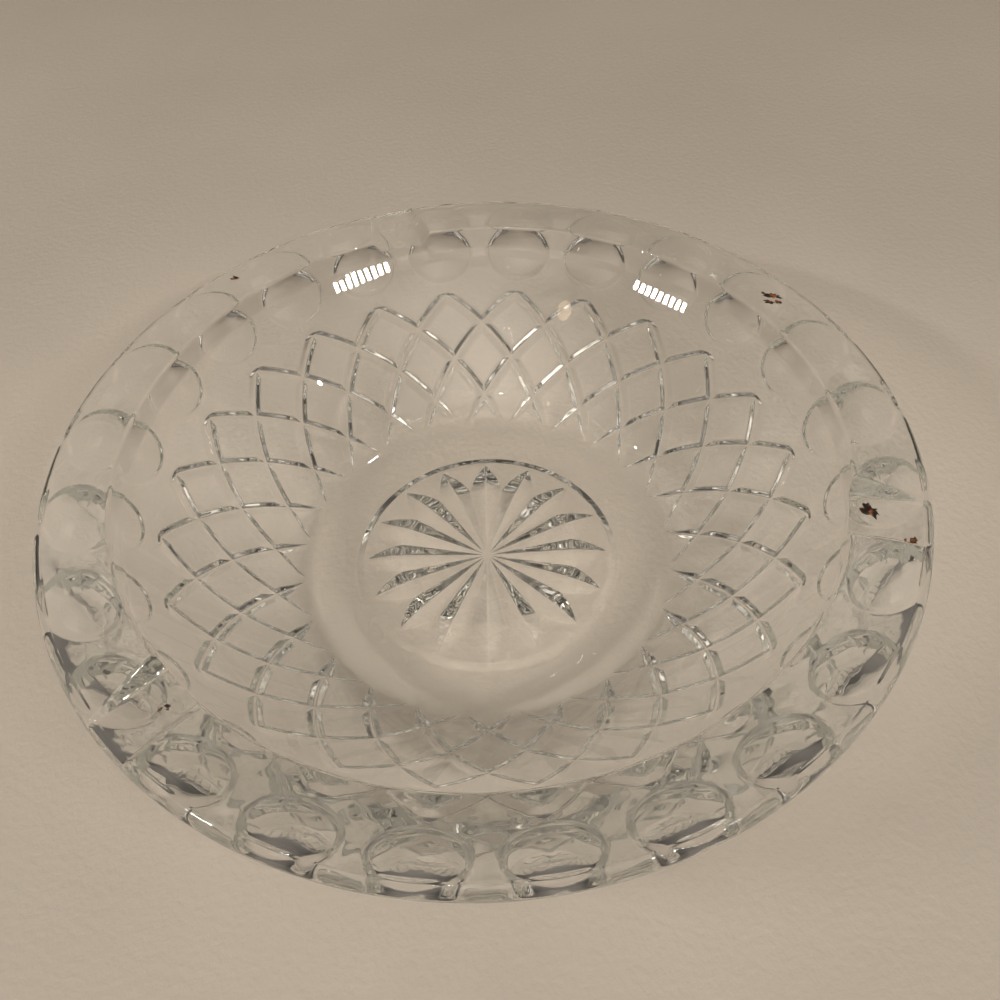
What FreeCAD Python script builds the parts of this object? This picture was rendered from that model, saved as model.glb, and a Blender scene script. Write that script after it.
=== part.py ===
import FreeCAD, Part
import math
import os
from FreeCAD import Vector

# A heavy pressed-glass ashtray, one piece of clear glass. Millimetres, +Z up.
# The origin is the middle of the flat foot that it stands on.
# One cigarette rest points along +Y and the cut pattern follows from there.

# Rim: the widest circle, its rounded edge, and the sloping top of the rim.
OUTER_RADIUS = 89.0
EDGE_ROUNDING = 2.5
RIM_SLOPE_DEG = 8.0
RIM_INNER_RADIUS = 73.5
RIM_INNER_ROUNDING = 0.8

# Outer wall: a straight flare from the foot to the widest circle.
WALL_SLOPE_DEG = 38.8
WALL_FOOT_RADIUS = 44.2
HEEL_ROUNDING = 10.0

# Inside of the bowl, from the floor up: even wall, steeper upper wall, and a band below the rim.
WALL_THICKNESS = 7.0
FLOOR_THICKNESS = 7.0
WELL_FLOOR_ROUNDING = 20.0
WELL_UPPER_SLOPE_DEG = 52.0
WELL_UPPER_ROUNDING = 115.0
WELL_BAND_DEPTH = 5.2
WELL_BAND_SLOPE_DEG = 82.0
WELL_BAND_ROUNDING = 1.0

# Underside: a flat ring-shaped foot round a shallow recess that holds the star.
FOOT_INNER_RADIUS = 30.2
RECESS_RADIUS = 28.5
RECESS_DEPTH = 0.8

# Diamond lattice cut into the outer wall: two families of V grooves that cross.
PATTERN_COUNT = 24
PATTERN_PHASE_DEG = 7.5
LATTICE_OUTER_RADIUS = 71.8
LATTICE_INNER_RADIUS = 42.0
LATTICE_TURN_DEG = 30.0
LATTICE_CURVE = 0.2
GROOVE_WIDTH = 3.2
GROOVE_DEPTH = 1.35
GROOVE_RUN_OUT = 0.1
GROOVE_FADE = 0.22
GROOVE_SPANS = 8

# Round thumbprints pressed into the outer wall above the lattice: a shallow dish with a steep lip.
THUMBPRINT_WALL_RADIUS = 81.4
THUMBPRINT_DIAMETER = 17.5
THUMBPRINT_BALL_RADIUS = 40.0
THUMBPRINT_LIP_DEPTH = 0.7
THUMBPRINT_LIP_SLOPE_DEG = 50.0
THUMBPRINT_REACH = 2.0

# Star cut into the underside of the floor: leaf-shaped V cuts.
STAR_RAYS = 16
STAR_PHASE_DEG = 7.5
STAR_RADIUS = 27.6
STAR_WIDEST_RADIUS = 19.0
STAR_DEPTH = 1.9
STAR_POINT_SPANS = 5
STAR_HUB_RADIUS = 1.0
STAR_OVERLAP = 1.04
STAR_LEAF_POWER = 1.8
STAR_TIP_WIDTH = 0.05

# Cigarette rests: channels across the rim.
REST_COUNT = 3
REST_PHASE_DEG = 90.0
REST_FLOOR_WIDTH = 9.5
REST_MOUTH_WIDTH = 15.0
REST_DEPTH = 3.0
REST_CLEARANCE = 4.0

# How far a cutting shape stands clear of the glass that it cuts.
CUT_MARGIN = 0.6

# The step along a groove that its direction is measured over, and the shortest edge worth drawing.
TRAVEL_STEP = 0.01
SHORTEST_EDGE = 1e-6

WALL_SLOPE = math.radians(WALL_SLOPE_DEG)
RIM_SLOPE = math.radians(RIM_SLOPE_DEG)
WELL_UPPER_SLOPE = math.radians(WELL_UPPER_SLOPE_DEG)
WELL_BAND_SLOPE = math.radians(WELL_BAND_SLOPE_DEG)
EDGE_CENTRE_RADIUS = OUTER_RADIUS - EDGE_ROUNDING
EDGE_CENTRE_HEIGHT = (
    (EDGE_CENTRE_RADIUS - WALL_FOOT_RADIUS) * math.tan(WALL_SLOPE)
    + EDGE_ROUNDING / math.cos(WALL_SLOPE)
)
EDGE_TOP_RADIUS = EDGE_CENTRE_RADIUS + EDGE_ROUNDING * math.sin(RIM_SLOPE)
EDGE_TOP_HEIGHT = EDGE_CENTRE_HEIGHT + EDGE_ROUNDING * math.cos(RIM_SLOPE)
RIM_INNER_HEIGHT = EDGE_TOP_HEIGHT + (EDGE_TOP_RADIUS - RIM_INNER_RADIUS) * math.tan(RIM_SLOPE)
HEEL_TANGENT = HEEL_ROUNDING * math.tan(WALL_SLOPE / 2)
HEEL_START_RADIUS = WALL_FOOT_RADIUS - HEEL_TANGENT
HEEL_END_RADIUS = WALL_FOOT_RADIUS + HEEL_TANGENT * math.cos(WALL_SLOPE)


def section_point(radius, height):
    return Vector(radius, 0, height)


def rounded_outline(corners):
    """Edges through the (radius, height, rounding) corners, each rounded by a tangent arc."""
    edges = []
    last = None
    for index, (radius, height, rounding) in enumerate(corners):
        corner = section_point(radius, height)
        if rounding == 0:
            entry = corner
            leave = corner
        else:
            before = section_point(*corners[index - 1][:2])
            after = section_point(*corners[index + 1][:2])
            to_before = (before - corner).normalize()
            to_after = (after - corner).normalize()
            half = to_before.getAngle(to_after) / 2
            tangent = rounding / math.tan(half)
            entry = corner + to_before * tangent
            leave = corner + to_after * tangent
        if last is not None and last.distanceToPoint(entry) > SHORTEST_EDGE:
            edges.append(Part.LineSegment(last, entry).toShape())
        if rounding > 0:
            bisector = (to_before + to_after).normalize()
            middle = corner + bisector * (rounding / math.sin(half) - rounding)
            edges.append(Part.Arc(entry, middle, leave).toShape())
        last = leave
    return edges


def well_corners():
    """Corners of the inside from the floor up: foot of the wall, bend, lower edge of the band, rim."""
    flare = math.tan(WALL_SLOPE)
    upper = math.tan(WELL_UPPER_SLOPE)
    wall_shift = WALL_THICKNESS / math.cos(WALL_SLOPE)
    floor_corner = WALL_FOOT_RADIUS + (FLOOR_THICKNESS - wall_shift) / flare
    band_radius = RIM_INNER_RADIUS - WELL_BAND_DEPTH / math.tan(WELL_BAND_SLOPE)
    band_height = RIM_INNER_HEIGHT - WELL_BAND_DEPTH
    bend_radius = (
        band_height - upper * band_radius - wall_shift + flare * WALL_FOOT_RADIUS
    ) / (flare - upper)
    bend_height = (bend_radius - WALL_FOOT_RADIUS) * flare + wall_shift
    return [
        (floor_corner, FLOOR_THICKNESS, WELL_FLOOR_ROUNDING),
        (bend_radius, bend_height, WELL_UPPER_ROUNDING),
        (band_radius, band_height, WELL_BAND_ROUNDING),
        (RIM_INNER_RADIUS, RIM_INNER_HEIGHT, RIM_INNER_ROUNDING),
    ]


def edge_corner():
    """Where the sloping top of the rim and the outer wall would meet without rounding."""
    rise = math.tan(WALL_SLOPE)
    fall = math.tan(RIM_SLOPE)
    radius = (
        RIM_INNER_HEIGHT + fall * RIM_INNER_RADIUS + rise * WALL_FOOT_RADIUS
    ) / (rise + fall)
    return radius, (radius - WALL_FOOT_RADIUS) * rise, EDGE_ROUNDING


def turned_bowl():
    corners = [
        (0, RECESS_DEPTH, 0),
        (RECESS_RADIUS, RECESS_DEPTH, 0),
        (FOOT_INNER_RADIUS, 0, 0),
        (WALL_FOOT_RADIUS, 0, HEEL_ROUNDING),
        edge_corner(),
    ]
    corners += reversed(well_corners())
    corners.append((0, FLOOR_THICKNESS, 0))
    edges = rounded_outline(corners)
    floor_middle = section_point(0, FLOOR_THICKNESS)
    under_middle = section_point(0, RECESS_DEPTH)
    edges.append(Part.LineSegment(floor_middle, under_middle).toShape())
    section = Part.Face(Part.Wire(edges))
    return section.revolve(Vector(0, 0, 0), Vector(0, 0, 1), 360)


def wall_point(radius):
    """Height and outward slope angle of the outer wall at a radius."""
    if radius >= HEEL_END_RADIUS:
        return (radius - WALL_FOOT_RADIUS) * math.tan(WALL_SLOPE), WALL_SLOPE
    if radius <= HEEL_START_RADIUS:
        return 0.0, 0.0
    slope = math.asin((radius - HEEL_START_RADIUS) / HEEL_ROUNDING)
    return HEEL_ROUNDING * (1 - math.cos(slope)), slope


def groove_path(travel):
    """Radius at a fraction of the way from the lattice's outer points to its inner ones."""
    inward = (1 - LATTICE_CURVE) * travel + LATTICE_CURVE * travel * travel
    return LATTICE_OUTER_RADIUS - (LATTICE_OUTER_RADIUS - LATTICE_INNER_RADIUS) * inward


def groove_surface_point(travel, side):
    radius = groove_path(travel)
    height, slope = wall_point(radius)
    angle = math.radians(side * LATTICE_TURN_DEG * travel)
    point = Vector(radius * math.cos(angle), radius * math.sin(angle), height)
    lean = math.sin(slope)
    outward = Vector(lean * math.cos(angle), lean * math.sin(angle), -math.cos(slope))
    return point, outward


def groove_section(travel, side):
    """Triangle across one groove: its root in the glass and two corners clear of it."""
    point, outward = groove_surface_point(travel, side)
    ahead = groove_surface_point(travel + TRAVEL_STEP, side)[0]
    behind = groove_surface_point(travel - TRAVEL_STEP, side)[0]
    across = (ahead - behind).cross(outward).normalize()
    fade = min(1.0, (1 - travel) / GROOVE_FADE)
    depth = GROOVE_DEPTH * fade - GROOVE_RUN_OUT * (1 - fade)
    reach = (depth + CUT_MARGIN) * GROOVE_WIDTH / 2 / GROOVE_DEPTH
    root = point - outward * depth
    top = point + outward * CUT_MARGIN
    return [root, top + across * reach, top - across * reach]


def faceted_solid(sections):
    """Solid through a row of sections with the same number of corners, skinned with triangles."""
    faces = []

    def add_triangle(first, second, third):
        faces.append(Part.Face(Part.makePolygon([first, second, third, first])))

    corner_count = len(sections[0])
    for near, far in zip(sections, sections[1:]):
        for corner in range(corner_count):
            following = (corner + 1) % corner_count
            add_triangle(near[corner], near[following], far[following])
            add_triangle(near[corner], far[following], far[corner])
    add_triangle(*reversed(sections[0]))
    add_triangle(*sections[-1])
    solid = Part.Solid(Part.Shell(faces))
    if solid.Volume < 0:
        solid.reverse()
    return solid


def turned_copies(shape, count, phase_deg):
    copies = []
    for index in range(count):
        copy = shape.copy()
        copy.rotate(Vector(0, 0, 0), Vector(0, 0, 1), phase_deg + index * 360.0 / count)
        copies.append(copy)
    return copies


def lattice_grooves():
    grooves = []
    for side in (-1, 1):
        sections = [groove_section(span / GROOVE_SPANS, side) for span in range(GROOVE_SPANS + 1)]
        grooves += turned_copies(faceted_solid(sections), PATTERN_COUNT, PATTERN_PHASE_DEG)
    return grooves


def thumbprints():
    """A ball trimmed by a cone, so that it presses a dish with a steep lip, for each column."""
    height, slope = wall_point(THUMBPRINT_WALL_RADIUS)
    middle = section_point(THUMBPRINT_WALL_RADIUS, height)
    outward = Vector(math.sin(slope), 0, -math.cos(slope))
    half = THUMBPRINT_DIAMETER / 2
    stand_off = math.sqrt(THUMBPRINT_BALL_RADIUS ** 2 - half ** 2) - THUMBPRINT_LIP_DEPTH
    ball = Part.makeSphere(THUMBPRINT_BALL_RADIUS, middle + outward * stand_off)
    spread = THUMBPRINT_REACH / math.tan(math.radians(THUMBPRINT_LIP_SLOPE_DEG))
    start = middle + outward * THUMBPRINT_REACH
    lip = Part.makeCone(half + spread, half - spread, 2 * THUMBPRINT_REACH, start, outward * -1)
    return turned_copies(ball.common(lip), PATTERN_COUNT, PATTERN_PHASE_DEG)


def star_half_width(radius):
    """Half width of one leaf of the star: it fills its sector, then closes to a point."""
    sector = math.tan(math.pi / STAR_RAYS) * STAR_OVERLAP
    if radius <= STAR_WIDEST_RADIUS:
        return radius * sector
    closing = (radius - STAR_WIDEST_RADIUS) / (STAR_RADIUS - STAR_WIDEST_RADIUS)
    return STAR_WIDEST_RADIUS * sector * (1 - closing ** STAR_LEAF_POWER)


def star_section(radius):
    half_width = max(star_half_width(radius), STAR_TIP_WIDTH)
    widest = star_half_width(STAR_WIDEST_RADIUS)
    depth = STAR_DEPTH * half_width / widest
    reach = half_width * (1 + CUT_MARGIN / depth)
    low = RECESS_DEPTH - CUT_MARGIN
    root = Vector(radius, 0, RECESS_DEPTH + depth)
    return [root, Vector(radius, reach, low), Vector(radius, -reach, low)]


def star_cuts():
    closing = STAR_RADIUS - STAR_WIDEST_RADIUS
    spans = range(STAR_POINT_SPANS + 1)
    radii = [STAR_HUB_RADIUS]
    radii += [STAR_WIDEST_RADIUS + closing * span / STAR_POINT_SPANS for span in spans]
    leaf = faceted_solid([star_section(radius) for radius in radii])
    return turned_copies(leaf, STAR_RAYS, STAR_PHASE_DEG)


def cigarette_rests():
    """Channels across the rim with a level floor and sloping sides."""
    floor_height = RIM_INNER_HEIGHT - REST_DEPTH
    side_lean = (REST_MOUTH_WIDTH - REST_FLOOR_WIDTH) / 2 / REST_DEPTH
    top_height = RIM_INNER_HEIGHT + REST_CLEARANCE
    half_floor = REST_FLOOR_WIDTH / 2
    half_top = half_floor + side_lean * (top_height - floor_height)
    start = RIM_INNER_RADIUS - REST_CLEARANCE * 2
    corners = [
        Vector(start, -half_floor, floor_height),
        Vector(start, half_floor, floor_height),
        Vector(start, half_top, top_height),
        Vector(start, -half_top, top_height),
    ]
    mouth = Part.Face(Part.makePolygon(corners + [corners[0]]))
    channel = mouth.extrude(Vector(OUTER_RADIUS + REST_CLEARANCE - start, 0, 0))
    return turned_copies(channel, REST_COUNT, REST_PHASE_DEG)


def glass_body():
    body = turned_bowl()
    body = body.cut(lattice_grooves())
    body = body.cut(star_cuts())
    body = body.cut(thumbprints())
    return body.cut(cigarette_rests())


def main():
    os.makedirs("parts", exist_ok=True)
    body = glass_body()
    print("valid", body.isValid(), "solids", len(body.Solids), "faces", len(body.Faces))
    print("volume_cm3", round(body.Volume / 1000, 1))
    body.exportStep("parts/glass_ashtray.step")


main()
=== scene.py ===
import math

import bpy
import numpy as np
from mathutils import Matrix, Vector


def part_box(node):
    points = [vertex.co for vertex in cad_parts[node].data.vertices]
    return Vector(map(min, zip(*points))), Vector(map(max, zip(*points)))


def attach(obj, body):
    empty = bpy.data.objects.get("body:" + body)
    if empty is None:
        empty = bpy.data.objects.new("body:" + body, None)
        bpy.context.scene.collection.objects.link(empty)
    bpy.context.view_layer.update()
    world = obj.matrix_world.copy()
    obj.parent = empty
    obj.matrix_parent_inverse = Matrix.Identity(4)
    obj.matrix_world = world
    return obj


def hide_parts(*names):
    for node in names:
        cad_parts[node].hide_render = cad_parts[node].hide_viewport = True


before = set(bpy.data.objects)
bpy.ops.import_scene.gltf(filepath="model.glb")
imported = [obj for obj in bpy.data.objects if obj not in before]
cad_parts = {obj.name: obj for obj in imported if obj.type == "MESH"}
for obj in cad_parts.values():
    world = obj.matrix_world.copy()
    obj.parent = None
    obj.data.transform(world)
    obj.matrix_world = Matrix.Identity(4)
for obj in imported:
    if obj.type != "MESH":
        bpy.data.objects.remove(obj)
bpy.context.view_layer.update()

MM = 0.001

# The glass, in millimetres, with the same driving dimensions as the solid.
GLASS_LOW, GLASS_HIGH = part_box("glass_ashtray")
OUTER_RADIUS = max(GLASS_HIGH[0] - GLASS_LOW[0], GLASS_HIGH[1] - GLASS_LOW[1]) / 2 / MM
EDGE_ROUNDING = 2.5
RIM_SLOPE = math.radians(8.0)
RIM_INNER_RADIUS = 73.5
RIM_INNER_ROUNDING = 0.8
WALL_SLOPE = math.radians(38.8)
WALL_FOOT_RADIUS = 44.2
HEEL_ROUNDING = 10.0
WALL_THICKNESS = 7.0
FLOOR_THICKNESS = 7.0
WELL_FLOOR_ROUNDING = 20.0
WELL_UPPER_SLOPE = math.radians(52.0)
WELL_UPPER_ROUNDING = 115.0
WELL_BAND_DEPTH = 5.2
WELL_BAND_SLOPE = math.radians(82.0)
WELL_BAND_ROUNDING = 1.0
FOOT_INNER_RADIUS = 30.2
RECESS_RADIUS = 28.5
RECESS_DEPTH = 0.8

EDGE_CENTRE_RADIUS = OUTER_RADIUS - EDGE_ROUNDING
EDGE_CENTRE_HEIGHT = (
    (EDGE_CENTRE_RADIUS - WALL_FOOT_RADIUS) * math.tan(WALL_SLOPE)
    + EDGE_ROUNDING / math.cos(WALL_SLOPE)
)
RIM_HEIGHT = (
    EDGE_CENTRE_HEIGHT
    + EDGE_ROUNDING / math.cos(RIM_SLOPE)
    + (EDGE_CENTRE_RADIUS - RIM_INNER_RADIUS) * math.tan(RIM_SLOPE)
)

# Diamond lattice, thumbprints, star and cigarette rests.
PATTERN_COUNT = 24
PATTERN_PHASE = math.radians(7.5)
LATTICE_OUTER_RADIUS = 71.8
LATTICE_INNER_RADIUS = 42.0
LATTICE_TURN = math.radians(30.0)
LATTICE_CURVE = 0.2
GROOVE_WIDTH = 3.2
GROOVE_DEPTH = 1.35
GROOVE_FADE = 0.22
GROOVE_RUN_OUT = 0.1
GROOVE_FADE_LEAST = -0.5
NO_GROOVE = 9.0
THUMBPRINT_WALL_RADIUS = 81.4
THUMBPRINT_DIAMETER = 17.5
THUMBPRINT_BALL_RADIUS = 40.0
THUMBPRINT_LIP_DEPTH = 0.7
THUMBPRINT_LIP_SLOPE = math.radians(50.0)
STAR_RAYS = 16
STAR_PHASE = math.radians(7.5)
STAR_RADIUS = 27.6
STAR_WIDEST_RADIUS = 19.0
STAR_DEPTH = 1.9
STAR_LEAF_POWER = 1.8
STAR_CUSP = 1.05
STAR_CLOSING_MOST = 1.3
STAR_LEAST_HALF_WIDTH = 0.05
REST_COUNT = 3
REST_PHASE = math.radians(90.0)
REST_FLOOR_WIDTH = 9.5
REST_MOUTH_WIDTH = 15.0
REST_DEPTH = 3.0

# How far pressing in a hot mould softens each edge.
GROOVE_SOFTNESS = 0.10
GROOVE_END_STEEPNESS = 3.5
THUMBPRINT_SOFTNESS = 0.22
STAR_SOFTNESS = 0.12
REST_SOFTNESS = 0.10

# Mesh fineness: columns round the glass and the step along the section, in mm.
COLUMNS = 1440
PLAIN_COLUMNS = 360
CENTRE_COLUMNS = 90
CENTRE_RADIUS = 0.4
PATTERN_STEP = 0.32
RIM_STEP = 0.4
PLAIN_STEP = 1.2
ARC_STEP_SHARE = 0.16
ARC_LEAST_STEPS = 6
STAR_COLUMN_SHARE = 1.6
PRESSED_SIDE = "pressed_side"

# How strongly the mould has rippled each zone of the surface.
RIPPLE_SHARES = {"star": 0.4, "wall": 1.0, "rim": 0.4, "plain": 0.0}


def soft_positive(value, softness):
    """value where it is above zero and zero elsewhere, with a rounded turn between."""
    return (value + np.sqrt(value * value + softness * softness)) / 2


def soft_lower(first, second, softness):
    """The lower of two surfaces, with a rounded corner where they cross."""
    return first - soft_positive(first - second, softness)


def soft_distance(value, softness):
    """Distance from zero, with a rounded bottom."""
    return np.sqrt(value * value + softness * softness) - softness


def off_centre(angle, phase, count):
    """Angle from the nearest of count evenly spaced directions, the first of them at phase."""
    pitch = 2 * math.pi / count
    return (angle - phase + pitch / 2) % pitch - pitch / 2


def rounded_outline(corners):
    """Lines and arcs through (radius, height, rounding, step, zone) corners, as section points.

    A point is (radius, height, normal_radius, normal_height, zone), and zone is that of the
    corner it comes from. Normals point out of the glass, to the right of the way of travel.
    """
    points = []
    last = None
    for index, (radius, height, rounding, step, zone) in enumerate(corners):
        corner = np.array([radius, height])
        if rounding == 0:
            entry = corner
            leave = corner
        else:
            to_before = np.array(corners[index - 1][:2]) - corner
            to_after = np.array(corners[index + 1][:2]) - corner
            to_before /= np.linalg.norm(to_before)
            to_after /= np.linalg.norm(to_after)
            half = math.acos(float(to_before @ to_after)) / 2
            entry = corner + to_before * rounding / math.tan(half)
            leave = corner + to_after * rounding / math.tan(half)
        if last is not None:
            points += line_points(last, entry, step, zone)
        if rounding > 0:
            points += arc_points(entry, leave, to_before, to_after, half, rounding, step, zone)
        last = leave
    return points


def line_points(start, end, step, zone):
    length = np.linalg.norm(end - start)
    along = (end - start) / length
    count = max(2, math.ceil(length / step))
    return [(*(start + along * length * i / count), along[1], -along[0], zone) for i in range(count)]


def arc_points(entry, leave, to_before, to_after, half, rounding, step, zone):
    bisector = (to_before + to_after) / np.linalg.norm(to_before + to_after)
    corner = entry - to_before * rounding / math.tan(half)
    centre = corner + bisector * rounding / math.sin(half)
    turn_side = np.sign(-to_before[0] * to_after[1] + to_before[1] * to_after[0])
    sweep = math.pi - 2 * half
    count = max(ARC_LEAST_STEPS, math.ceil(rounding * sweep / min(step, rounding * ARC_STEP_SHARE)))
    points = []
    for i in range(count):
        angle = turn_side * sweep * i / count
        out = entry - centre
        turned = np.array([
            out[0] * math.cos(angle) - out[1] * math.sin(angle),
            out[0] * math.sin(angle) + out[1] * math.cos(angle),
        ])
        normal = turned / rounding * turn_side
        points.append((*(centre + turned), normal[0], normal[1], zone))
    return points


def glass_section():
    """The turned section of the glass, from under the middle, round the rim, to the floor's middle."""
    flare = math.tan(WALL_SLOPE)
    upper = math.tan(WELL_UPPER_SLOPE)
    fall = math.tan(RIM_SLOPE)
    shift = WALL_THICKNESS / math.cos(WALL_SLOPE)
    edge = (RIM_HEIGHT + fall * RIM_INNER_RADIUS + flare * WALL_FOOT_RADIUS) / (flare + fall)
    band_height = RIM_HEIGHT - WELL_BAND_DEPTH
    band_radius = RIM_INNER_RADIUS - WELL_BAND_DEPTH / math.tan(WELL_BAND_SLOPE)
    bend = (band_height - upper * band_radius - shift + flare * WALL_FOOT_RADIUS) / (flare - upper)
    floor = WALL_FOOT_RADIUS + (FLOOR_THICKNESS - shift) / flare
    corners = [
        (CENTRE_RADIUS, RECESS_DEPTH, 0, PATTERN_STEP, "star"),
        (RECESS_RADIUS, RECESS_DEPTH, 0.3, PATTERN_STEP, "star"),
        (FOOT_INNER_RADIUS, 0, 0.3, PATTERN_STEP, "plain"),
        (WALL_FOOT_RADIUS, 0, HEEL_ROUNDING, PATTERN_STEP, "wall"),
        (edge, (edge - WALL_FOOT_RADIUS) * flare, EDGE_ROUNDING, PATTERN_STEP, "wall"),
        (RIM_INNER_RADIUS, RIM_HEIGHT, RIM_INNER_ROUNDING, RIM_STEP, "rim"),
        (band_radius, band_height, WELL_BAND_ROUNDING, RIM_STEP, "rim"),
        (bend, (bend - WALL_FOOT_RADIUS) * flare + shift, WELL_UPPER_ROUNDING, PLAIN_STEP, "plain"),
        (floor, FLOOR_THICKNESS, WELL_FLOOR_ROUNDING, PLAIN_STEP, "plain"),
        (CENTRE_RADIUS, FLOOR_THICKNESS, 0, PLAIN_STEP, "plain"),
    ]
    points = rounded_outline(corners)
    points.append((CENTRE_RADIUS, FLOOR_THICKNESS, 0, 1, "plain"))
    return points


def groove_travel(radius):
    """How far along a groove a radius lies: 0 at the lattice's outer points, 1 at its inner ones."""
    inward = (LATTICE_OUTER_RADIUS - radius) / (LATTICE_OUTER_RADIUS - LATTICE_INNER_RADIUS)
    straight = 1 - LATTICE_CURVE
    return (np.sqrt(np.maximum(straight ** 2 + 4 * LATTICE_CURVE * inward, 0.01)) - straight) / (
        2 * LATTICE_CURVE
    )


def groove_depth(radius, slope_cosine, angle):
    """Two crossing sets of V-shaped grooves that fade out toward the foot."""
    travel = groove_travel(radius)
    span = LATTICE_OUTER_RADIUS - LATTICE_INNER_RADIUS
    radius_rate = -span * (1 - LATTICE_CURVE + 2 * LATTICE_CURVE * travel) / slope_cosine
    turn_rate = radius * LATTICE_TURN
    lean = np.abs(radius_rate) / np.hypot(radius_rate, turn_rate)
    fade = np.clip((1 - travel) / GROOVE_FADE, GROOVE_FADE_LEAST, 1)
    deepest = GROOVE_DEPTH * fade - GROOVE_RUN_OUT * (1 - fade)
    side_slope = GROOVE_DEPTH / (GROOVE_WIDTH / 2)
    ends = np.clip(-travel * span, 0, None) * GROOVE_END_STEEPNESS
    depth = np.full_like(angle, -NO_GROOVE)
    for side in (-1, 1):
        aside = off_centre(angle - side * LATTICE_TURN * travel, PATTERN_PHASE, PATTERN_COUNT)
        across = soft_distance(aside * radius * lean, GROOVE_SOFTNESS)
        depth = np.maximum(depth, deepest - (across + ends) * side_slope)
    return soft_positive(depth, GROOVE_SOFTNESS)


def thumbprint_depth(radius, angle):
    """A shallow dish, part of a ball, inside a steep conical lip."""
    half = THUMBPRINT_DIAMETER / 2
    aside = off_centre(angle, PATTERN_PHASE, PATTERN_COUNT) * radius
    along = (radius - THUMBPRINT_WALL_RADIUS) / math.cos(WALL_SLOPE)
    out = np.hypot(aside, along)
    stand_off = math.sqrt(THUMBPRINT_BALL_RADIUS ** 2 - half ** 2) - THUMBPRINT_LIP_DEPTH
    dish = np.sqrt(np.maximum(THUMBPRINT_BALL_RADIUS ** 2 - out ** 2, 1)) - stand_off
    lip = (half - out) * math.tan(THUMBPRINT_LIP_SLOPE)
    curving_away = aside ** 2 * math.sin(WALL_SLOPE) / (2 * radius)
    return soft_positive(soft_lower(dish, lip, THUMBPRINT_SOFTNESS) - curving_away, THUMBPRINT_SOFTNESS)


def star_depth(radius, angle):
    """Leaf-shaped rays, widest past their middle, each with a sharp line down its centre."""
    turn = off_centre(angle, STAR_PHASE, STAR_RAYS)
    along = radius * np.cos(turn)
    across = soft_distance(radius * np.sin(turn), STAR_SOFTNESS)
    sector = math.tan(math.pi / STAR_RAYS)
    widest = STAR_WIDEST_RADIUS * sector
    past_widest = (along - STAR_WIDEST_RADIUS) / (STAR_RADIUS - STAR_WIDEST_RADIUS)
    closing = np.clip(past_widest, 0, STAR_CLOSING_MOST)
    tip = widest * (1 - closing ** STAR_LEAF_POWER)
    half_width = np.where(along < STAR_WIDEST_RADIUS, along * sector, tip)
    inside = np.clip(half_width - across, 0, None) / np.maximum(half_width, STAR_LEAST_HALF_WIDTH)
    return STAR_DEPTH * half_width / widest * inside ** STAR_CUSP


def rest_height(radius, angle):
    """Height of the channel of the nearest cigarette rest: level in the middle, rising at its sides."""
    turn = off_centre(angle, REST_PHASE, REST_COUNT)
    across = radius * np.sin(turn)
    lean = (REST_MOUTH_WIDTH - REST_FLOOR_WIDTH) / 2 / REST_DEPTH
    outside = soft_positive(np.abs(across) - REST_FLOOR_WIDTH / 2, REST_SOFTNESS) / lean
    return RIM_HEIGHT - REST_DEPTH + outside


def glass_ring(point, columns):
    """Positions, in mm, of one ring of the glass's surface, with the pattern pressed into it."""
    radius, height, normal_radius, normal_height, zone = point
    angle = np.arange(columns) * 2 * math.pi / columns
    radii = np.full(columns, radius)
    heights = np.full(columns, height)
    if zone == "star":
        heights = heights + star_depth(radii, angle)
    if zone == "wall":
        depth = groove_depth(radii, max(-normal_height, 0.5), angle) + thumbprint_depth(radii, angle)
        radii = radii - depth * normal_radius
        heights = heights - depth * normal_height
    if height > RIM_HEIGHT / 2:
        heights = soft_lower(heights, rest_height(radii, angle), REST_SOFTNESS / 3)
    return np.column_stack([radii * np.cos(angle), radii * np.sin(angle), heights])


def ring_columns(section):
    """Columns for each ring: fewer where the glass is plain or near its middle.

    The count at most halves or doubles from one ring to the next.
    """
    counts = []
    for radius, height, _, _, zone in section:
        wanted = COLUMNS
        if zone == "star":
            wanted = COLUMNS * radius / RECESS_RADIUS * STAR_COLUMN_SHARE
        if zone == "plain" and height > RECESS_DEPTH:
            wanted = min(PLAIN_COLUMNS, PLAIN_COLUMNS * radius / RECESS_RADIUS)
        columns = CENTRE_COLUMNS
        while columns < min(wanted, COLUMNS):
            columns *= 2
        counts.append(columns)
    for order in (range(1, len(counts)), range(len(counts) - 2, -1, -1)):
        for index in order:
            neighbour = counts[index - 1] if order.step > 0 else counts[index + 1]
            counts[index] = max(counts[index], neighbour // 2)
    return counts


def band_faces(inner_start, inner_count, outer_start, outer_count):
    """Faces between two rings. Where one has twice the columns, each face has an extra corner."""
    faces = []
    count = min(inner_count, outer_count)
    for i in range(count):
        j = (i + 1) % count
        if inner_count == outer_count:
            faces.append((inner_start + j, outer_start + j, outer_start + i, inner_start + i))
        elif inner_count < outer_count:
            middle = outer_start + 2 * i + 1
            far = outer_start + 2 * j
            near = outer_start + 2 * i
            faces.append((inner_start + j, far, middle, near, inner_start + i))
        else:
            middle = inner_start + 2 * i + 1
            far = inner_start + 2 * j
            near = inner_start + 2 * i
            faces.append((middle, far, outer_start + j, outer_start + i, near))
    return faces


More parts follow.
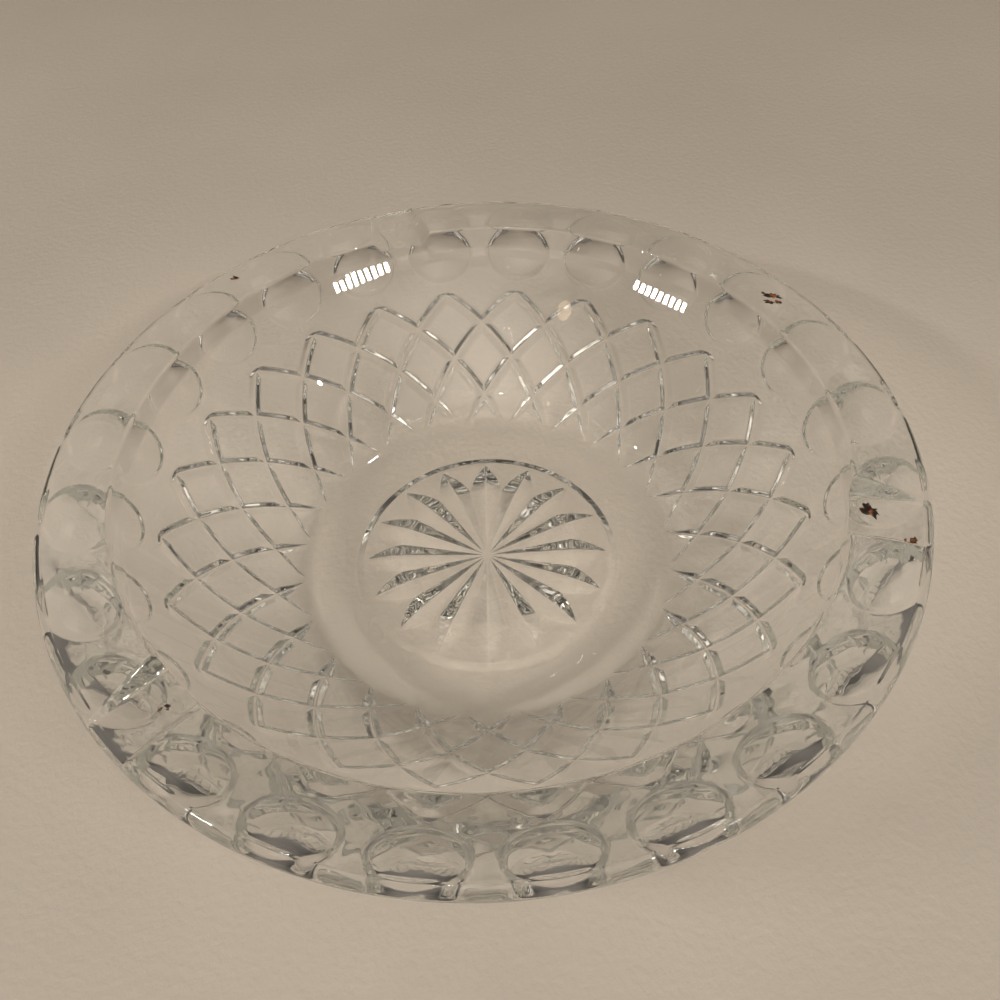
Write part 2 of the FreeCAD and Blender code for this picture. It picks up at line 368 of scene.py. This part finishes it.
def glass_mesh():
    """The pressed glass as one closed mesh, with how rippled each point is as an attribute."""
    section = glass_section()
    counts = ring_columns(section)
    rings = [glass_ring(point, count) for point, count in zip(section, counts)]
    starts = np.concatenate([[0], np.cumsum(counts)])
    faces = []
    for index in range(len(rings) - 1):
        faces += band_faces(starts[index], counts[index], starts[index + 1], counts[index + 1])
    under_middle = starts[-1]
    floor_middle = under_middle + 1
    faces += [(under_middle, (i + 1) % counts[0], i) for i in range(counts[0])]
    last = starts[-2]
    faces += [(floor_middle, last + i, last + (i + 1) % counts[-1]) for i in range(counts[-1])]
    middles = [[0, 0, rings[0][:, 2].mean()], [0, 0, rings[-1][:, 2].mean()]]
    positions = np.vstack(rings + [middles]) * MM
    mesh = bpy.data.meshes.new("pressed_glass")
    mesh.from_pydata(positions.tolist(), [], [tuple(int(v) for v in face) for face in faces])
    mesh.validate()
    mesh.polygons.foreach_set("use_smooth", [True] * len(mesh.polygons))
    pressed = [RIPPLE_SHARES[point[4]] for point, count in zip(section, counts) for _ in range(count)]
    mark = mesh.attributes.new(PRESSED_SIDE, "FLOAT", "POINT")
    mark.data.foreach_set("value", pressed + [RIPPLE_SHARES["star"], RIPPLE_SHARES["plain"]])
    return mesh


def new_object(name, mesh):
    piece = bpy.data.objects.new(name, mesh)
    bpy.context.scene.collection.objects.link(piece)
    return piece


def new_material(name):
    material = bpy.data.materials.new(name)
    material.use_nodes = True
    material.node_tree.nodes.clear()
    return material, material.node_tree.nodes, material.node_tree.links


def glass_material():
    """Clear glass, rippled on its pressed side, with a faint green in thick places."""
    material, nodes, links = new_material("clear_pressed_glass")
    output = nodes.new("ShaderNodeOutputMaterial")
    surface = nodes.new("ShaderNodeBsdfPrincipled")
    surface.inputs["Base Color"].default_value = (0.99, 0.99, 0.985, 1)
    surface.inputs["Transmission Weight"].default_value = 1.0
    surface.inputs["IOR"].default_value = 1.52
    surface.inputs["Roughness"].default_value = 0.0
    place = nodes.new("ShaderNodeTexCoord")
    ripple = nodes.new("ShaderNodeTexNoise")
    ripple.inputs["Scale"].default_value = 110
    ripple.inputs["Detail"].default_value = 2
    pressed = nodes.new("ShaderNodeAttribute")
    pressed.attribute_name = PRESSED_SIDE
    height = nodes.new("ShaderNodeMath")
    height.operation = "MULTIPLY"
    bump = nodes.new("ShaderNodeBump")
    bump.inputs["Strength"].default_value = 0.16
    bump.inputs["Distance"].default_value = 0.0015
    links.new(place.outputs["Object"], ripple.inputs["Vector"])
    links.new(ripple.outputs["Fac"], height.inputs[0])
    links.new(pressed.outputs["Fac"], height.inputs[1])
    links.new(height.outputs[0], bump.inputs["Height"])
    links.new(bump.outputs["Normal"], surface.inputs["Normal"])
    steepness = nodes.new("ShaderNodeLayerWeight")
    steepness.inputs["Blend"].default_value = 0.5
    shadow = nodes.new("ShaderNodeValToRGB")
    shadow.color_ramp.elements[0].position = 0.15
    shadow.color_ramp.elements[0].color = (0.72, 0.72, 0.71, 1)
    shadow.color_ramp.elements[1].position = 0.75
    shadow.color_ramp.elements[1].color = (0.25, 0.25, 0.25, 1)
    passing = nodes.new("ShaderNodeBsdfTransparent")
    path = nodes.new("ShaderNodeLightPath")
    mix = nodes.new("ShaderNodeMixShader")
    links.new(steepness.outputs["Facing"], shadow.inputs["Fac"])
    links.new(shadow.outputs["Color"], passing.inputs["Color"])
    links.new(path.outputs["Is Shadow Ray"], mix.inputs["Fac"])
    links.new(surface.outputs["BSDF"], mix.inputs[1])
    links.new(passing.outputs["BSDF"], mix.inputs[2])
    tint = nodes.new("ShaderNodeVolumeAbsorption")
    tint.inputs["Color"].default_value = (0.88, 0.91, 0.87, 1)
    tint.inputs["Density"].default_value = 6
    links.new(mix.outputs["Shader"], output.inputs["Surface"])
    links.new(tint.outputs["Volume"], output.inputs["Volume"])
    return material


def table_material():
    material, nodes, links = new_material("pale_table")
    output = nodes.new("ShaderNodeOutputMaterial")
    surface = nodes.new("ShaderNodeBsdfPrincipled")
    surface.inputs["Roughness"].default_value = 0.75
    place = nodes.new("ShaderNodeTexCoord")
    mottle = nodes.new("ShaderNodeTexNoise")
    mottle.inputs["Scale"].default_value = 9
    mottle.inputs["Detail"].default_value = 4
    shade = nodes.new("ShaderNodeValToRGB")
    shade.color_ramp.elements[0].position = 0.3
    shade.color_ramp.elements[0].color = (0.53, 0.469, 0.400, 1)
    shade.color_ramp.elements[1].position = 0.7
    shade.color_ramp.elements[1].color = (0.58, 0.513, 0.438, 1)
    grain = nodes.new("ShaderNodeTexNoise")
    grain.inputs["Scale"].default_value = 560
    grain.inputs["Detail"].default_value = 3
    bump = nodes.new("ShaderNodeBump")
    bump.inputs["Strength"].default_value = 0.5
    bump.inputs["Distance"].default_value = 0.0005
    links.new(place.outputs["Object"], mottle.inputs["Vector"])
    links.new(place.outputs["Object"], grain.inputs["Vector"])
    links.new(mottle.outputs["Fac"], shade.inputs["Fac"])
    links.new(shade.outputs["Color"], surface.inputs["Base Color"])
    links.new(grain.outputs["Fac"], bump.inputs["Height"])
    links.new(bump.outputs["Normal"], surface.inputs["Normal"])
    links.new(surface.outputs["BSDF"], output.inputs["Surface"])
    return material


TABLE_HALF_SIZE = 6.0
TABLE_GAP = 0.00005


def add_table():
    reach = TABLE_HALF_SIZE
    mesh = bpy.data.meshes.new("table")
    corners = [(-reach, -reach, 0), (reach, -reach, 0), (reach, reach, 0), (-reach, reach, 0)]
    mesh.from_pydata(corners, [], [(0, 1, 2, 3)])
    table = new_object("table", mesh)
    table.location.z = GLASS_LOW[2] - TABLE_GAP
    mesh.materials.append(table_material())


# The camera: where it stands round the part, and how it is turned off a level look along +Y.
CAMERA_DISTANCE = 0.2332
CAMERA_ELEVATION = math.radians(53.98)
CAMERA_AZIMUTH = math.radians(257.41)
CAMERA_YAW = math.radians(-1.50)
CAMERA_TILT = math.radians(-50.34)
CAMERA_ROLL = math.radians(2.72)
CAMERA_LENS = 35.71


def add_camera():
    data = bpy.data.cameras.new("camera")
    data.lens = CAMERA_LENS
    data.sensor_width = 36.0
    data.clip_start = 0.01
    camera = new_object("camera", data)
    level = CAMERA_DISTANCE * math.cos(CAMERA_ELEVATION)
    place = Matrix.Translation((
        level * math.cos(CAMERA_AZIMUTH),
        level * math.sin(CAMERA_AZIMUTH),
        CAMERA_DISTANCE * math.sin(CAMERA_ELEVATION),
    ))
    facing = Matrix.Rotation(CAMERA_AZIMUTH + math.pi / 2 + CAMERA_YAW, 4, "Z")
    tilt = Matrix.Rotation(CAMERA_TILT, 4, "X")
    roll = Matrix.Rotation(CAMERA_ROLL, 4, "Y")
    level_look = Matrix.Rotation(math.pi / 2, 4, "X")
    camera.matrix_world = place @ facing @ tilt @ roll @ level_look
    bpy.context.scene.camera = camera


# Two LED strips stand left and right of the camera: azimuth round the part from +X, elevation, tilt.
LED_STRIPS = (
    (math.radians(187.5), math.radians(38.1), math.radians(17)),
    (math.radians(295.9), math.radians(43.2), math.radians(-7)),
)
LED_DISTANCE = 0.82
LED_CELLS = 9
LED_CELL_WIDTH = 0.014
LED_CELL_HEIGHT = 0.022
LED_CELL_GAP = 0.011
LED_GLOW = 200.0

# Small round ceiling lamps, and a warm one: azimuth, elevation, size in metres, glow.
LAMP_DISTANCE = 1.1
LAMP_COLOUR = (1.0, 0.97, 0.92)
WARM_COLOUR = (1.0, 0.72, 0.45)
CEILING_LAMPS = (
    (math.radians(150), math.radians(52), 0.020, 160.0, LAMP_COLOUR),
    (math.radians(238), math.radians(68), 0.020, 160.0, LAMP_COLOUR),
    (math.radians(332), math.radians(48), 0.020, 160.0, LAMP_COLOUR),
    (math.radians(62), math.radians(64), 0.020, 160.0, LAMP_COLOUR),
    (math.radians(217), math.radians(50), 0.070, 5.0, WARM_COLOUR),
)


def direction_at(azimuth, elevation):
    return (
        math.cos(elevation) * math.cos(azimuth),
        math.cos(elevation) * math.sin(azimuth),
        math.sin(elevation),
    )


def add_light(name, shape, size, glow, colour, matrix):
    """A flat lamp that is equally bright over its face: glow is its radiance."""
    data = bpy.data.lights.new(name, "AREA")
    data.shape = shape
    data.size = size[0]
    data.size_y = size[1]
    area = size[0] * size[1] * (math.pi / 4 if shape == "DISK" else 1)
    data.energy = glow * math.pi * area
    data.color = colour
    lamp = new_object(name, data)
    lamp.matrix_world = matrix


def facing_origin(azimuth, elevation, distance):
    centre = Vector(direction_at(azimuth, elevation)) * distance
    return Matrix.Translation(centre) @ centre.to_track_quat("Z", "Y").to_matrix().to_4x4()


def add_lamps():
    for strip, (azimuth, elevation, tilt) in enumerate(LED_STRIPS):
        facing = facing_origin(azimuth, elevation, LED_DISTANCE) @ Matrix.Rotation(tilt, 4, "Z")
        for cell in range(LED_CELLS):
            aside = (cell - (LED_CELLS - 1) / 2) * (LED_CELL_WIDTH + LED_CELL_GAP)
            place = facing @ Matrix.Translation((aside, 0, 0))
            size = (LED_CELL_WIDTH, LED_CELL_HEIGHT)
            add_light(f"led_{strip}_{cell}", "RECTANGLE", size, LED_GLOW, LAMP_COLOUR, place)
    for index, (azimuth, elevation, size, glow, colour) in enumerate(CEILING_LAMPS):
        facing = facing_origin(azimuth, elevation, LAMP_DISTANCE)
        add_light(f"ceiling_lamp_{index}", "DISK", (size, size), glow, colour, facing)


def soft_light_lobe(nodes, links, direction, sharpness, strength):
    """A socket that is bright round one direction of the sky and fades smoothly away from it."""
    look = nodes.new("ShaderNodeTexCoord")
    toward = nodes.new("ShaderNodeVectorMath")
    toward.operation = "DOT_PRODUCT"
    toward.inputs[1].default_value = direction
    positive = nodes.new("ShaderNodeMath")
    positive.operation = "MAXIMUM"
    positive.inputs[1].default_value = 0.0
    power = nodes.new("ShaderNodeMath")
    power.operation = "POWER"
    power.inputs[1].default_value = sharpness
    scale = nodes.new("ShaderNodeMath")
    scale.operation = "MULTIPLY"
    scale.inputs[1].default_value = strength
    links.new(look.outputs["Generated"], toward.inputs[0])
    links.new(toward.outputs["Value"], positive.inputs[0])
    links.new(positive.outputs[0], power.inputs[0])
    links.new(power.outputs[0], scale.inputs[0])
    return scale.outputs[0]


# Soft light of the room: an even part and broad bright patches.
# Each patch: azimuth, elevation, sharpness, strength.
ROOM_LIGHT = 0.030
ROOM_PATCHES = (
    (math.radians(250), math.radians(58), 9, 1.95),
    (math.radians(77), math.radians(12), 10, 0.14),
    (math.radians(20), math.radians(42), 60, 1.2),
    (math.radians(130), math.radians(38), 60, 1.2),
)


def add_room_light():
    world = bpy.data.worlds.new("room")
    bpy.context.scene.world = world
    world.use_nodes = True
    nodes = world.node_tree.nodes
    links = world.node_tree.links
    nodes.clear()
    total = None
    for azimuth, elevation, sharpness, strength in ROOM_PATCHES:
        lobe = soft_light_lobe(nodes, links, direction_at(azimuth, elevation), sharpness, strength)
        add = nodes.new("ShaderNodeMath")
        add.operation = "ADD"
        add.inputs[1].default_value = ROOM_LIGHT
        links.new(lobe, add.inputs[0])
        if total is not None:
            links.new(total, add.inputs[1])
        total = add.outputs[0]
    background = nodes.new("ShaderNodeBackground")
    background.inputs["Color"].default_value = (1.0, 0.89, 0.76, 1)
    output = nodes.new("ShaderNodeOutputWorld")
    links.new(total, background.inputs["Strength"])
    links.new(background.outputs["Background"], output.inputs["Surface"])


def add_glass():
    mesh = glass_mesh()
    mesh.materials.append(glass_material())
    glass = new_object("pressed_glass_ashtray", mesh)
    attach(glass, "root")
    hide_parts("glass_ashtray")


# Tar and scorch marks. Each patch: distance from the middle in mm, angle round the part in degrees,
# how many marks it has, how far they scatter in mm, and the length of the largest in mm.
TAR_PATCHES = (
    (77, -29, 4, 1.5, 3.4),
    (85, -33, 3, 1.5, 1.9),
    (81, 18, 4, 2.5, 3.5),
    (83, 120, 2, 1.0, 2.2),
    (77, -149, 3, 2.0, 1.2),
)
FLECK_SHRINK = 0.6
FLECK_SLIMNESS = (0.4, 0.75)
FLECK_TURN = 80
FLECK_RAGGEDNESS = (0.6, 1.5)
FLECK_SHOULDER = 0.75
FLECK_SHOULDER_HEIGHT = 0.7
FLECK_SEED = 7
FLECK_CORNERS = 18
FLECK_HEIGHT = 0.20
FLECK_SINK = 0.03


def rim_top_height(radius, angle):
    """Height of the top of the rim, or of a cigarette rest where one crosses it."""
    slope = RIM_HEIGHT - (radius - RIM_INNER_RADIUS) * math.tan(RIM_SLOPE)
    return np.minimum(slope, rest_height(radius, angle))


def scattered_flecks(random):
    """Place, length, width and turn of each mark.

    Every patch has one large mark and smaller ones round it.
    """
    flecks = []
    for radius, angle, count, scatter, largest in TAR_PATCHES:
        for order in range(count):
            shift, turn_aside = random.uniform(-scatter, scatter, 2) * (order > 0)
            length = largest / (1 + order * FLECK_SHRINK)
            width = length * random.uniform(*FLECK_SLIMNESS)
            aside = math.degrees(turn_aside / radius)
            turn = random.uniform(-FLECK_TURN, FLECK_TURN)
            flecks.append((radius + shift, angle + aside, length, width, turn))
    return flecks


def fleck_points(fleck, outline):
    """A ragged outline, a ring inside it and a middle, as positions in mm on the glass."""
    radius, azimuth, length, width, turn = fleck
    corner = np.arange(FLECK_CORNERS) * 2 * math.pi / FLECK_CORNERS
    turned = math.radians(azimuth + turn)
    points = []
    rings = (
        (1.0, -FLECK_SINK),
        (FLECK_SHOULDER, FLECK_HEIGHT * FLECK_SHOULDER_HEIGHT),
        (0.0, FLECK_HEIGHT),
    )
    centre_x = radius * math.cos(math.radians(azimuth))
    centre_y = radius * math.sin(math.radians(azimuth))
    for share, lift in rings:
        along = np.cos(corner) * length / 2 * outline * share
        across = np.sin(corner) * width / 2 * outline * share
        x = centre_x + along * math.cos(turned) - across * math.sin(turned)
        y = centre_y + along * math.sin(turned) + across * math.cos(turned)
        z = rim_top_height(np.hypot(x, y), np.arctan2(y, x)) + lift
        points.append(np.column_stack([x, y, z]))
    return np.vstack([points[0], points[1], points[2][:1]])


def tar_material():
    material, nodes, links = new_material("tar_and_scorch")
    output = nodes.new("ShaderNodeOutputMaterial")
    surface = nodes.new("ShaderNodeBsdfPrincipled")
    surface.inputs["Roughness"].default_value = 0.45
    place = nodes.new("ShaderNodeTexCoord")
    patches = nodes.new("ShaderNodeTexNoise")
    patches.inputs["Scale"].default_value = 900
    shade = nodes.new("ShaderNodeValToRGB")
    shade.color_ramp.elements[0].position = 0.50
    shade.color_ramp.elements[0].color = (0.012, 0.006, 0.004, 1)
    shade.color_ramp.elements[1].position = 0.64
    shade.color_ramp.elements[1].color = (0.30, 0.10, 0.03, 1)
    links.new(place.outputs["Object"], patches.inputs["Vector"])
    links.new(patches.outputs["Fac"], shade.inputs["Fac"])
    links.new(shade.outputs["Color"], surface.inputs["Base Color"])
    links.new(surface.outputs["BSDF"], output.inputs["Surface"])
    return material


def add_tar_flecks():
    random = np.random.default_rng(FLECK_SEED)
    positions = []
    faces = []
    for fleck in scattered_flecks(random):
        outline = random.uniform(*FLECK_RAGGEDNESS, FLECK_CORNERS)
        start = len(positions)
        positions += fleck_points(fleck, outline).tolist()
        for i in range(FLECK_CORNERS):
            j = (i + 1) % FLECK_CORNERS
            inner = start + FLECK_CORNERS
            faces.append((start + i, start + j, inner + j, inner + i))
            faces.append((inner + i, inner + j, inner + FLECK_CORNERS))
        faces.append(tuple(start + i for i in reversed(range(FLECK_CORNERS))))
    mesh = bpy.data.meshes.new("tar_flecks")
    mesh.from_pydata([[value * MM for value in position] for position in positions], [], faces)
    mesh.materials.append(tar_material())
    flecks = new_object("tar_flecks", mesh)
    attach(flecks, "root")


# Light bounces many times between the faces of thick glass, and goes black if it is cut short.
GLASS_BOUNCES = 40
SHADOW_BOUNCES = 32
BRIGHTEST_INDIRECT = 6


def set_light_paths():
    scene = bpy.context.scene
    scene.view_settings.view_transform = "Standard"
    scene.cycles.max_bounces = GLASS_BOUNCES
    scene.cycles.transmission_bounces = GLASS_BOUNCES
    scene.cycles.glossy_bounces = GLASS_BOUNCES
    scene.cycles.transparent_max_bounces = SHADOW_BOUNCES
    scene.cycles.sample_clamp_indirect = BRIGHTEST_INDIRECT


add_camera()
add_table()
add_glass()
add_tar_flecks()
add_room_light()
add_lamps()
set_light_paths()
